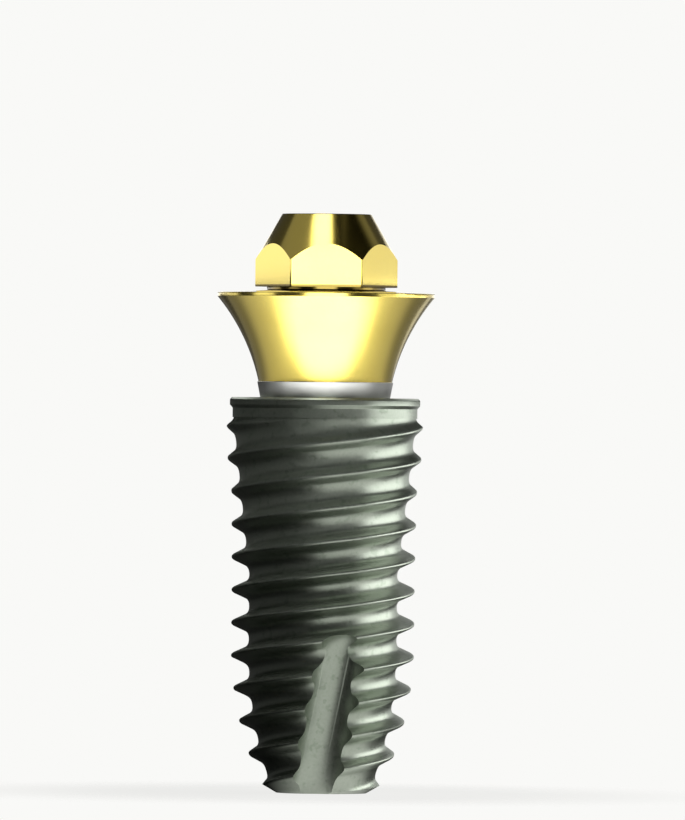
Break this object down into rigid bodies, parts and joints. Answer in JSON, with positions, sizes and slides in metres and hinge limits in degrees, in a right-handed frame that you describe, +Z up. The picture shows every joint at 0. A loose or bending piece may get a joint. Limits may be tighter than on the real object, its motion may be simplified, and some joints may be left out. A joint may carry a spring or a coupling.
{
  "type": "dental implant fixture with screw abutment",
  "caption": "Tapered self-tapping implant fixture with a gold-coated one-piece screw abutment seated in its conical socket.",
  "frame": {"origin": "centre of the fixture's flat apex face", "axes": "+Z up the common axis towards the abutment's head; -Y faces one flat of the abutment's hexagon and one cutting flute"},
  "size_m": [0.0054, 0.0054, 0.0147],
  "materials": {
    "blasted_titanium": "blasted and etched, dark grey",
    "gold_nitride": "turned and coated, satin gold; bare titanium on the cone, collar and screw"
  },
  "bodies": {
    "fixture": {"fixture": "blasted_titanium"},
    "abutment": {"abutment": "gold_nitride"}
  },
  "joints": [
    {"name": "abutment_unscrews", "type": "slide", "parent": "fixture", "child": "abutment", "axis": [0, 0, 1], "range_m": [0, 0.0065]}
  ]
}
